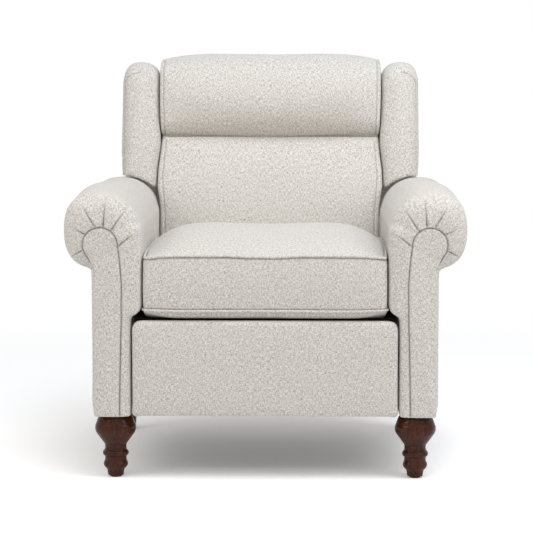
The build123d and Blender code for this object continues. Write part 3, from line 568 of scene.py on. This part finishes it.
def piping(name, body, route, thickness):
    """A self-covered welt cord sewn along a route."""
    curve = bpy.data.curves.new(name, "CURVE")
    curve.dimensions = "3D"
    curve.bevel_depth = thickness / 2
    curve.bevel_resolution = 2
    curve.resolution_u = 2
    curve.use_fill_caps = True
    spline = curve.splines.new("NURBS")
    spline.points.add(len(route) - 1)
    for point, place in zip(spline.points, route):
        point.co = (*place, 1)
    spline.order_u = 3
    spline.use_endpoint_u = True
    cord = bpy.data.objects.new(name + "_line", curve)
    scene.collection.objects.link(cord)
    shape = bmesh.new()
    shape.from_mesh(applied_mesh(cord))
    bpy.data.objects.remove(cord)
    piece = new_piece(name, shape)
    lay_cloth(piece)
    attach(piece, body)


def cut_solid(name, solid, place, keep_side):
    """A copy of a frame solid with only the part on one side of a plane, its cut closed."""
    shape = bmesh.new()
    shape.from_mesh(nodes[solid].data)
    bmesh.ops.remove_doubles(shape, verts=shape.verts[:], dist=0.02 * MM)
    bmesh.ops.bisect_plane(
        shape, geom=shape.verts[:] + shape.edges[:] + shape.faces[:], plane_co=place, plane_no=keep_side,
        clear_inner=True,
    )
    rim = [edge for edge in shape.edges if edge.is_boundary]
    bmesh.ops.holes_fill(shape, edges=rim)
    return new_piece(name, shape)


def box_shape(shape, low, high):
    """Adds a box between two corners to a bmesh and returns its points."""
    made = bmesh.ops.create_cube(shape, size=1.0)["verts"]
    size = [b - a for a, b in zip(low, high)]
    middle = [(a + b) / 2 for a, b in zip(low, high)]
    bmesh.ops.scale(shape, vec=size, verts=made)
    bmesh.ops.translate(shape, vec=middle, verts=made)
    return made


def round_edges(shape, edges, radius, segments):
    """Rounds edges of a bmesh."""
    bmesh.ops.bevel(
        shape, geom=edges, offset=radius, segments=segments, profile=0.5, affect="EDGES", material=-1,
        clamp_overlap=True,
    )


def nearness(distance, reach):
    """1 at a place, falling to 0 at a reach from it."""
    return min(1, max(0, 1 - distance / reach))


def squarer(x, z, fullness):
    """How many times further out a point of a round outline lies on a fuller, squarer one."""
    return math.hypot(x, z) / (abs(x) ** fullness + abs(z) ** fullness) ** (1 / fullness)


# Right arm: the stump, its padded inside and the roll, drawn together under one cover
BAND_R = 50 * MM
REAR_R = 14 * MM
STUMP_R = 16 * MM
PAD_R = 25 * MM
FACING_SET = 2 * MM
ROLL_FULL_HIGH = 2.7
ROLL_FULL_LOW = 2.5
ROLL_BULGE = 8 * MM
BULGE_WAY = Vector((0.5, 0, 0.866))
BULGE_START = FRONT_Y + 20 * MM
BULGE_LENGTH = 480 * MM
arm_shape = bmesh.new()
ring = bmesh.ops.create_circle(arm_shape, cap_ends=True, segments=72, radius=ROLL_R)["verts"]
for vert in ring:
    if vert.co.x > 0:
        fullness = ROLL_FULL_HIGH if vert.co.y > 0 else ROLL_FULL_LOW
        vert.co *= squarer(vert.co.x, vert.co.y, fullness)
bmesh.ops.rotate(arm_shape, verts=ring, cent=(0, 0, 0), matrix=Matrix.Rotation(math.pi / 2, 3, "X"))
bmesh.ops.translate(arm_shape, verts=ring, vec=(ROLL_X, FRONT_Y, ROLL_Z))
drawn = bmesh.ops.extrude_face_region(arm_shape, geom=arm_shape.faces[:])["geom"]
drawn = [item for item in drawn if isinstance(item, bmesh.types.BMVert)]
bmesh.ops.translate(arm_shape, verts=drawn, vec=(0, ARM_REAR - FRONT_Y, 0))
rim = [edge for edge in arm_shape.edges if all(abs(v.co.y - FRONT_Y) < MM for v in edge.verts)]
round_edges(arm_shape, rim, BAND_R, 8)
rear_rim = [edge for edge in arm_shape.edges if all(abs(v.co.y - ARM_REAR) < MM for v in edge.verts)]
round_edges(arm_shape, rear_rim, REAR_R, 3)
stump = box_shape(
    arm_shape, (stump_low.x, FRONT_Y + FACING_SET, ARM_BOTTOM), (stump_high.x, ARM_REAR, ROLL_Z)
)
stump_edges = {edge for vert in stump for edge in vert.link_edges}
stump_edges = [e for e in stump_edges if all(v.co.y < 0 and v.co.x < ROLL_X for v in e.verts)]
round_edges(arm_shape, stump_edges, STUMP_R, 5)
pad_top = ROLL_Z + 8 * MM
pad = box_shape(
    arm_shape, (pad_low.x + MM, FRONT_Y + FACING_SET, pad_low.z), (ROLL_X, ARM_REAR, pad_top)
)
pad_edges = {edge for vert in pad for edge in vert.link_edges}
pad_edges = [e for e in pad_edges if all(v.co.x < ROLL_X - MM for v in e.verts)]
pad_edges = [e for e in pad_edges if any(v.co.z < pad_top - MM for v in e.verts)]
round_edges(arm_shape, pad_edges, PAD_R, 6)
bmesh.ops.recalc_face_normals(arm_shape, faces=arm_shape.faces[:])
arm = new_piece("right_arm_cover", arm_shape)
even_out(arm, voxel=5.5 * MM, rounds=4)
for vert in arm.data.vertices:
    out = Vector((vert.co.x - ROLL_X, 0, vert.co.z - ROLL_Z)).normalized()
    toward = max(0, out.dot(BULGE_WAY))
    along = nearness(vert.co.y - BULGE_START, BULGE_LENGTH)
    vert.co += out * (ROLL_BULGE * toward * toward * math.sin(math.pi * along))


def arm_held(p):
    """Where the arm's cover stays tight: its bottom, its inside, the roll's top and under the wing."""
    x, y, z = p.T
    bottom = z < ARM_BOTTOM + 12 * MM
    inside = x < pad_low.x + 8 * MM
    crest = z > ROLL_Z + ROLL_R - 6 * MM
    under_wing = (y > 100 * MM) & (z > ROLL_Z - 20 * MM) & (x < ROLL_X + 40 * MM)
    beside_footrest = (x < stump_low.x + 8 * MM) & (z < pad_low.z + 60 * MM)
    return (bottom | inside | crest | under_wing | beside_footrest).astype(float)


swell(arm, cap=4 * MM, held=arm_held)

# Facing seam round the scroll and down the stump, and the pleats that run out from the scroll's middle
facing_seam = [
    (stump_high.x - 2 * MM, SCROLL_Z - 58 * MM),
    *[
        (SCROLL_X + SCROLL_R * math.cos(math.radians(a)), SCROLL_Z + SCROLL_R * math.sin(math.radians(a)))
        for a in range(-40, 181, 10)
    ],
    (SCROLL_X - 46 * MM, SCROLL_Z - 40 * MM),
    (SCROLL_X - 50 * MM, SCROLL_Z - 90 * MM),
    (SCROLL_X - 49 * MM, SCROLL_Z - 180 * MM),
    (SCROLL_X - 45 * MM, SCROLL_Z - 300 * MM),
    (SCROLL_X - 43 * MM, ARM_BOTTOM + 2 * MM),
]
# Each pleat's inner and outer end, in millimetres across and up from the scroll's middle
PLEATS = (
    ((-41, -2), (-80, 27)),
    ((-25, 33), (-60, 82)),
    ((-8, 41), (-13, 108)),
    ((10, 40), (40, 92)),
    ((33, 25), (60, 37)),
    ((40, -12), (68, -28)),
)
pleats = [
    trace(arm, [(SCROLL_X + x * MM, SCROLL_Z + z * MM) for x, z in pleat]) for pleat in PLEATS
]
sew(arm, [trace(arm, facing_seam)], depth=4 * MM, width=2.4 * MM)
sew(arm, pleats, depth=4.5 * MM, width=2.4 * MM, fade=True)
left_arm = mirrored(arm, "left_arm_cover")
for side, piece in (("right", arm), ("left", left_arm)):
    dress(
        piece, "base", 0.8,
        f"{side}_arm_roll", f"{side}_arm_stump", f"{side}_arm_inside_pad", f"{side}_arm_facing",
    )

# Seat cushion: a crowned box between two welts, its underside curving up at the front
seat = copy_solids("seat_cushion_cover", "seat_cushion")
even_out(seat, voxel=5.5 * MM, rounds=2)
SEAT_HALF = cushion_high.x
SEAT_WIDEN = 2.5 * MM
WELT_Z = cushion_high.z - 44 * MM
WELT_DROP = 4 * MM
LOW_WELT_Z = cushion_low.z + 22 * MM
CROWN_LIFT = 7 * MM
CROWN_RISE = 40 * MM
TUCK_HEIGHT = 24 * MM
TUCK_DEPTH = 60 * MM
TUCK_CORNER = 85 * MM
TUCK_LIFT = 4 * MM
TUCK_BACK = 10 * MM
CORNER_LIFT = 17 * MM


def seat_route(z, drop):
    """Places round the cushion at a height, its corners a little lower."""
    front = cushion_low.y + 7 * MM
    rear = cushion_high.y - 6 * MM
    return [
        (-SEAT_HALF, rear, z - drop),
        (-SEAT_HALF, front + 8 * MM, z - drop),
        (-0.93 * SEAT_HALF, front, z - 0.5 * drop),
        (0, front, z),
        (0.93 * SEAT_HALF, front, z - 0.5 * drop),
        (SEAT_HALF, front + 8 * MM, z - drop),
        (SEAT_HALF, rear, z - drop),
    ]


def seat_held(p):
    """The share by which the cushion's top welt, sides, rear and underside keep their places."""
    top = np.exp(-((along_line(p, seat_route(WELT_Z, WELT_DROP))[0] / (16 * MM)) ** 2))
    under = p[:, 2] < cushion_low.z + 26 * MM
    rear = p[:, 1] > cushion_high.y - 8 * MM
    sides = np.abs(p[:, 0]) > SEAT_HALF - 6 * MM
    return np.maximum.reduce([top, under, rear, sides])


swell(seat, cap=3 * MM, held=seat_held)
for vert in seat.data.vertices:
    low_share = max(0, 1 - (vert.co.z - cushion_low.z) / TUCK_HEIGHT)
    front_share = max(0, 1 - (vert.co.y - cushion_low.y) / TUCK_DEPTH)
    corner_share = max(0, 1 - (SEAT_HALF - abs(vert.co.x)) / TUCK_CORNER)
    vert.co.z += low_share * front_share * (TUCK_LIFT + CORNER_LIFT * corner_share * corner_share)
    vert.co.y += low_share * low_share * front_share * TUCK_BACK
    vert.co.z += CROWN_LIFT * (1 - nearness(vert.co.z - WELT_Z, CROWN_RISE))
    vert.co.x *= 1 + SEAT_WIDEN / SEAT_HALF
welts = [snap(seat, seat_route(WELT_Z, WELT_DROP)), snap(seat, seat_route(LOW_WELT_Z, -2 * MM))]
cords = [stand_proud(seat, welt, rise=1.6 * MM) for welt in welts]
sew(seat, welts, depth=2.5 * MM, width=4.5 * MM)
dress(seat, "seat", 0.85, "seat_cushion")
for name, cord in zip(("seat_top_welt", "seat_bottom_welt"), cords):
    piping(name, "seat", cord, thickness=6.5 * MM)

# Black deck cloth carried out past the seat rails to the arms, under the cushion's edges
deck_low, deck_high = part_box("seat_deck")
FLAP_TOP = deck_high.z - 2 * MM
FLAP_THICK = 2 * MM
FLAP_LIP = 6 * MM
for name, side in (("right_deck_flap", 1), ("left_deck_flap", -1)):
    flap_shape = bmesh.new()
    near_x, far_x = sorted((side * (deck_high.x + 0.4 * MM), side * (stump_low.x - 4 * MM)))
    box_shape(
        flap_shape, (near_x, deck_low.y, FLAP_TOP - FLAP_THICK), (far_x, deck_high.y, FLAP_TOP)
    )
    box_shape(
        flap_shape,
        (near_x, deck_low.y - FLAP_THICK, FLAP_TOP - FLAP_LIP),
        (far_x, deck_low.y - 0.2 * MM, FLAP_TOP),
    )
    flap = new_piece(name, flap_shape)
    flap.data.materials.append(finishes["deck_cloth"])
    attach(flap, "seat")

# Where the wings press against the pillows, as a half width at each height
BACK_UP = Vector((0, math.sin(BACK_TILT), math.cos(BACK_TILT)))
SIDE_HEIGHTS = np.array((400, 596, 620, 645, 690, 752, 800, 870, 950)) * MM
SIDE_LINE = np.array((284.5, 284.5, 288, 293, 292, 285, 287, 290, 291)) * MM
CREASE_Z = head_low.z + 20 * MM
TOP_REACH = 60 * MM


def side_line(z):
    """Half the width of the back's pillows at a height."""
    return float(np.interp(z, SIDE_HEIGHTS, SIDE_LINE))


# Lower back cushion and headrest, each sewn a finger's width inside its sides
for name, node, inset, taller in (
    ("lower_back_cover", "lower_back_cushion", 14 * MM, 20 * MM),
    ("headrest_cover", "headrest_cushion", 11 * MM, 0),
):
    low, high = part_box(node)
    pillow = copy_solids(name, node)
    even_out(pillow, voxel=6 * MM, rounds=3)
    swell(
        pillow, cap=7 * MM,
        held=lambda p: (
            (np.abs(p[:, 0]) > high.x - 8 * MM) | (p[:, 2] < low.z + 10 * MM)
        ).astype(float),
    )
    points = read_points(pillow.data)
    levels = np.linspace(low.z, high.z, 13)
    halves = [np.abs(points[np.abs(points[:, 2] - z) < 25 * MM, 0]).max() for z in levels]
    for vert in pillow.data.vertices:
        vert.co.x *= (side_line(vert.co.z) - MM) / float(np.interp(vert.co.z, levels, halves))
        rise = nearness(high.z - vert.co.z, TOP_REACH)
        vert.co += BACK_UP * (taller * rise * rise)
    heights = np.linspace(low.z + 6 * MM, high.z - 3 * MM, 9)
    seams = [
        trace(pillow, [(side * (side_line(z) - inset), z) for z in heights]) for side in (1, -1)
    ]
    sew(pillow, seams, depth=2 * MM, width=2.2 * MM, shade=0.45)
    if taller:
        # Painted shade: a dark line across the lower cushion's front where it tucks under the headrest, not
        # pressed in
        across = [(x * side_line(CREASE_Z), CREASE_Z) for x in (-0.97, -0.5, 0, 0.5, 0.97)]
        crease = trace(pillow, across, step=10 * MM)
        sew(pillow, [crease], depth=0, width=5 * MM, shade=0.85, finer=1)
    dress(pillow, "back", 0.8, node)

# Wings: their undersides come down close over the rolls
wing = copy_solids("right_wing_cover", "right_wing")
even_out(wing, voxel=5.5 * MM, rounds=3)
WING_GAP = 16 * MM
WING_DROP = 12.5 * MM
WING_OUTER_DROP = 14 * MM
WING_SLIM = 3 * MM
WING_ARCH = 9 * MM
INSIDE_REACH = 45 * MM
OUTSIDE_REACH = 28 * MM
END_REACH = 70 * MM


def wing_under(x):
    """Height of the wings' undersides, which follow the rolls."""
    reach = np.clip(np.abs(x - ROLL_X) / (ROLL_R + WING_GAP), 0, 1)
    return ROLL_Z + (ROLL_R + WING_GAP) * np.sqrt(1 - reach * reach)


swell(
    wing, cap=3 * MM,
    held=lambda p: (
        (p[:, 0] < wing_low.x + 8 * MM) | (p[:, 2] < wing_under(p[:, 0]) + 20 * MM)
    ).astype(float),
)
for vert in wing.data.vertices:
    inside = nearness(vert.co.x - wing_low.x, INSIDE_REACH)
    vert.co.x -= (wing_low.x - side_line(vert.co.z) - MM) * inside
    under = float(wing_under(vert.co.x))
    low_share = nearness(vert.co.z - under, END_REACH)
    outside = nearness(wing_high.x - vert.co.x, OUTSIDE_REACH)
    outer_drop = max(0, min(vert.co.z - under, WING_OUTER_DROP)) * outside
    vert.co.z -= (WING_DROP + outer_drop) * low_share
    vert.co.x -= WING_SLIM * outside
    arch = abs(2 * (vert.co.x - wing_low.x) / (wing_high.x - wing_low.x) - 1)
    crest = nearness(wing_high.z - vert.co.z, END_REACH)
    vert.co.z -= WING_ARCH * crest * arch * arch
wing_seam = [
    (wing_high.x - 7 * MM, ROLL_Z + 105 * MM),
    (wing_high.x - 7 * MM, wing_high.z - 55 * MM),
    (wing_high.x - 13 * MM, wing_high.z - 40 * MM),
    (wing_high.x - 26 * MM, wing_high.z - 31 * MM),
    (wing_high.x - 48 * MM, wing_high.z - 26 * MM),
]
sew(wing, [trace(wing, wing_seam)], depth=2.2 * MM, width=2.4 * MM, shade=0.5)
left_wing = mirrored(wing, "left_wing_cover")
dress(wing, "back", 0.8, "right_wing")
dress(left_wing, "back", 0.8, "left_wing")

# Outside back: the padded panel swells, and its returned sides stay taut
BACK_REAR = Vector((0, math.cos(BACK_TILT), -math.sin(BACK_TILT)))
PANEL_DEPTH = 75.2 * MM
panel_face = HINGE + BACK_REAR * PANEL_DEPTH
outside = cut_solid("outside_back_cover", "outside_back", panel_face, BACK_REAR)
even_out(outside, voxel=5 * MM, rounds=2)
swell(
    outside, cap=5 * MM,
    held=lambda p: ((p - np.array(panel_face)) @ np.array(BACK_REAR) < 7 * MM).astype(float),
)
dress(outside, "back", 0.5, "outside_back")
returns = cut_solid("outside_back_returns", "outside_back", panel_face + BACK_REAR * MM, -BACK_REAR)
lay_cloth(returns)
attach(returns, "back")

# Footrest panel, pulled tight round its board
foot = copy_solids("footrest_cover", "footrest_pad")
foot_low, foot_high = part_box("footrest_pad")
even_out(foot, voxel=5.5 * MM, rounds=3)
swell(
    foot, cap=4 * MM,
    held=lambda p: np.maximum.reduce([
        np.abs(p[:, 0]) > foot_high.x - 8 * MM, p[:, 2] < foot_low.z + 8 * MM,
        p[:, 2] > foot_high.z - 8 * MM, p[:, 1] > foot_low.y + 18 * MM,
    ]).astype(float),
)
FOOT_CORNER = 26 * MM
FOOT_FULL = 5
FOOT_WIDEN = 2 * MM
FOOT_DROP = 6 * MM
FOOT_DROP_REACH = 60 * MM
for vert in foot.data.vertices:
    beyond = max(0, abs(vert.co.x) - foot_high.x + FOOT_CORNER)
    below = max(0, foot_low.z + FOOT_CORNER - vert.co.z)
    if beyond and below:
        further = squarer(beyond, below, FOOT_FULL) - 1
        vert.co.x += math.copysign(beyond * further, vert.co.x)
        vert.co.z -= below * further
    vert.co.x *= 1 + FOOT_WIDEN / foot_high.x
    vert.co.z -= FOOT_DROP * max(0, 1 - (vert.co.z - foot_low.z) / FOOT_DROP_REACH)
dress(foot, "footrest", 0.7, "footrest_pad")

# Base rails and the footrest's board, wrapped in the same cloth
for node, body in (("rear_base_rail", "base"), ("front_base_rail", "base"), ("footrest_board", "footrest")):
    wrap_shape = bmesh.new()
    box_shape(wrap_shape, *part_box(node))
    long_edges = [e for e in wrap_shape.edges if abs(e.verts[0].co.x - e.verts[1].co.x) > 0.1]
    round_edges(wrap_shape, long_edges, 4 * MM, 4)
    wrap = new_piece(node + "_cover", wrap_shape)
    lay_cloth(wrap)
    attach(wrap, body)
    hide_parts(node)


def background_rays(tree):
    """1 for rays that show the background: from the camera, a glossy surface or glass."""
    rays = add_node(tree, "ShaderNodeLightPath").outputs
    seen = add_node(
        tree, "ShaderNodeMath", {"operation": "MAXIMUM"}, i0=rays["Is Camera Ray"], i1=rays["Is Glossy Ray"]
    ).outputs[0]
    return add_node(
        tree, "ShaderNodeMath", {"operation": "MAXIMUM"}, i0=seen, i1=rays["Is Transmission Ray"]
    ).outputs[0]


# Pale floor that fades to white away from the chair and keeps the chair's cast shadow near it, with a
# painted shade: its camera-seen glow is weaker close to the chair, darkening the floor under it
floor_shape = bmesh.new()
bmesh.ops.create_grid(floor_shape, x_segments=1, y_segments=1, size=30)
floor = new_piece("studio_floor", floor_shape)
floor_material, tree = start_material("studio_floor")
place = add_node(tree, "ShaderNodeTexCoord").outputs["Object"]
reach = add_node(tree, "ShaderNodeVectorMath", {"operation": "LENGTH"}, i0=place).outputs["Value"]
away = add_node(
    tree, "ShaderNodeMapRange", {"interpolation_type": "SMOOTHSTEP"},
    Value=reach, From_Min=1.0, From_Max=2.6,
).outputs[0]
seen = background_rays(tree)
white = add_node(tree, "ShaderNodeMath", {"operation": "MULTIPLY"}, i0=away, i1=seen).outputs[0]
# Painted shade: the floor's camera-seen glow is smallest near the chair's middle, so the floor under the
# chair renders darker than the cast shadow alone makes it
under = add_node(
    tree, "ShaderNodeMapRange", {"interpolation_type": "SMOOTHSTEP"},
    Value=reach, From_Min=0.22, From_Max=0.7, To_Min=0.14, To_Max=0.31,
).outputs[0]
lift = add_node(tree, "ShaderNodeMath", {"operation": "MULTIPLY"}, i0=seen, i1=under).outputs[0]
paper = add_node(tree, "ShaderNodeBsdfDiffuse", Color=hex_colour("#f8f8f8"))
bright = add_node(tree, "ShaderNodeEmission", Color=(1, 1, 1, 1), Strength=lift)
paper = add_node(tree, "ShaderNodeAddShader", i0=paper.outputs[0], i1=bright.outputs[0])
glow = add_node(tree, "ShaderNodeEmission", Color=(1, 1, 1, 1), Strength=1.0)
close_material(
    floor_material,
    add_node(tree, "ShaderNodeMixShader", i0=white, i1=paper.outputs[0], i2=glow.outputs[0]),
)
floor.data.materials.append(floor_material)

# Soft studio light: an even room, a broad lamp overhead, a strip in front and one beside each arm
world = bpy.data.worlds.new("studio")
scene.world = world
world.use_nodes = True
tree = world.node_tree
tree.nodes.clear()
seen = background_rays(tree)
room = add_node(tree, "ShaderNodeBackground", Color=(1, 1, 1, 1), Strength=0.45)
sky = add_node(tree, "ShaderNodeBackground", Color=(1, 1, 1, 1), Strength=1.0)
mix = add_node(tree, "ShaderNodeMixShader", i0=seen, i1=room.outputs[0], i2=sky.outputs[0])
add_node(tree, "ShaderNodeOutputWorld", Surface=mix.outputs[0])


def studio_lamp(name, place, aim, size, watts, tint):
    """A soft lamp, so wide and so high, that points at a place."""
    light = bpy.data.lights.new(name, "AREA")
    light.shape = "RECTANGLE"
    light.size, light.size_y = size
    light.energy = watts
    light.color = hex_colour(tint)[:3]
    lamp = bpy.data.objects.new(name, light)
    lamp.location = place
    lamp.rotation_euler = (Vector(aim) - Vector(place)).to_track_quat("-Z", "Y").to_euler()
    scene.collection.objects.link(lamp)


studio_lamp("overhead_lamp", (0.7, -0.9, 3.2), (0, 0, 0.4), (2.2, 2.2), 60, "#ecf3ff")
studio_lamp("front_lamp", (-0.5, -2.6, 2.5), (0, 0, 0.5), (1.6, 0.4), 9.5, "#fff8f0")
studio_lamp("right_lamp", (1.4, -1.0, 1.4), (0.4, -0.3, 0.55), (0.9, 0.9), 7.5, "#fffcf6")
studio_lamp("left_lamp", (-1.4, -1.0, 1.4), (-0.4, -0.3, 0.55), (0.9, 0.9), 7.0, "#fffcf6")

# Camera, fitted to the photograph
camera_data = bpy.data.cameras.new("camera")
camera_data.sensor_width = 36.0
camera_data.lens = 135.1
camera = bpy.data.objects.new("camera", camera_data)
camera.location = (0.0973, -4.999, 0.980)
camera.rotation_euler = Vector((-0.0204, 1.0, -math.tan(0.1045))).to_track_quat("-Z", "Y").to_euler()
scene.collection.objects.link(camera)
scene.camera = camera
scene.view_settings.view_transform = "Standard"
